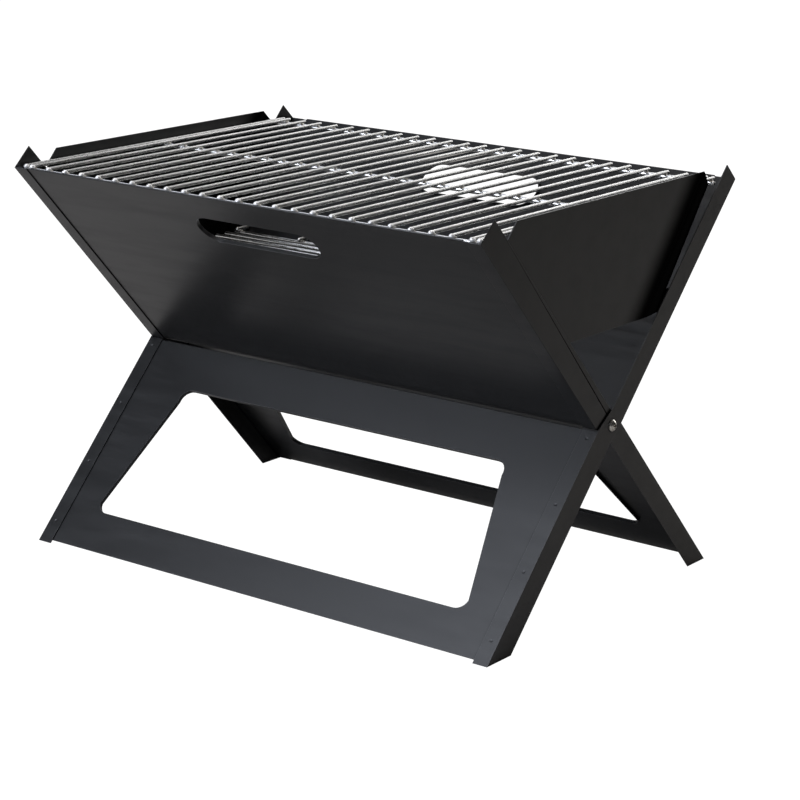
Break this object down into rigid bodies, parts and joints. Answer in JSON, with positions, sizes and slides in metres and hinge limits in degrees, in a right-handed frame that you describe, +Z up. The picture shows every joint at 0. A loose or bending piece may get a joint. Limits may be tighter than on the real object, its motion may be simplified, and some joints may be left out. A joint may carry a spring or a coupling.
{
  "type": "folding camp grill",
  "caption": "Folding charcoal grill: crossed black sheet-steel frames form a trough with a plated wire cooking grate, a charcoal grate and end plates.",
  "frame": {"origin": "centre of the outer box, at ground level", "axes": "+X to the right along the grill, +Y to the rear, +Z up"},
  "size_m": [0.4562, 0.3456, 0.3277],
  "materials": {
    "black_enamel": "satin black enamel on sheet steel",
    "grate_wire": "bright plated wire",
    "charcoal_wire": "bright plated wire, a little duller",
    "plated_fasteners": "zinc plated"
  },
  "bodies": {
    "outer_frame": {"left_outer_rail": "black_enamel", "right_outer_rail": "black_enamel", "rear_panel": "black_enamel", "front_leg_panel": "black_enamel", "left_pivot_screw": "plated_fasteners", "right_pivot_screw": "plated_fasteners", "left_pivot_nut": "plated_fasteners", "right_pivot_nut": "plated_fasteners", "left_pivot_washer": "plated_fasteners", "right_pivot_washer": "plated_fasteners"},
    "inner_frame": {"left_inner_rail": "black_enamel", "right_inner_rail": "black_enamel", "front_panel": "black_enamel", "rear_leg_panel": "black_enamel"},
    "cooking_grate": {"grate_front_bar": "grate_wire", "grate_middle_bar": "grate_wire", "grate_rear_bar": "grate_wire", "grate_rods": "grate_wire", "grate_end_rods": "grate_wire"},
    "charcoal_grate": {"charcoal_wires": "charcoal_wire", "charcoal_cross_bars": "charcoal_wire"},
    "left_end": {"left_end_plate": "black_enamel"},
    "right_end": {"right_end_plate": "black_enamel"}
  },
  "joints": [
    {"name": "fold", "type": "hinge", "parent": "outer_frame", "child": "inner_frame", "pos_m": [0, 0.0032, 0.1465], "axis": [-1, 0, 0], "range_deg": [0, 86.5]},
    {"name": "lift_cooking_grate", "type": "slide", "parent": "outer_frame", "child": "cooking_grate", "axis": [0, 0.6871, 0.7266], "range_m": [0, 0.4534]},
    {"name": "lift_charcoal_grate", "type": "slide", "parent": "outer_frame", "child": "charcoal_grate", "axis": [0, 0.6871, 0.7266], "range_m": [0, 0.4534]},
    {"name": "lift_left_end", "type": "slide", "parent": "outer_frame", "child": "left_end", "axis": [0, 0.6871, 0.7266], "range_m": [0, 0.4534]},
    {"name": "lift_right_end", "type": "slide", "parent": "outer_frame", "child": "right_end", "axis": [0, 0.6871, 0.7266], "range_m": [0, 0.4534]}
  ],
  "couplings": [
    {"joint": "lift_cooking_grate", "follows": "fold", "m_per_rad": 0.3},
    {"joint": "lift_charcoal_grate", "follows": "fold", "m_per_rad": 0.3},
    {"joint": "lift_left_end", "follows": "fold", "m_per_rad": 0.3},
    {"joint": "lift_right_end", "follows": "fold", "m_per_rad": 0.3}
  ]
}
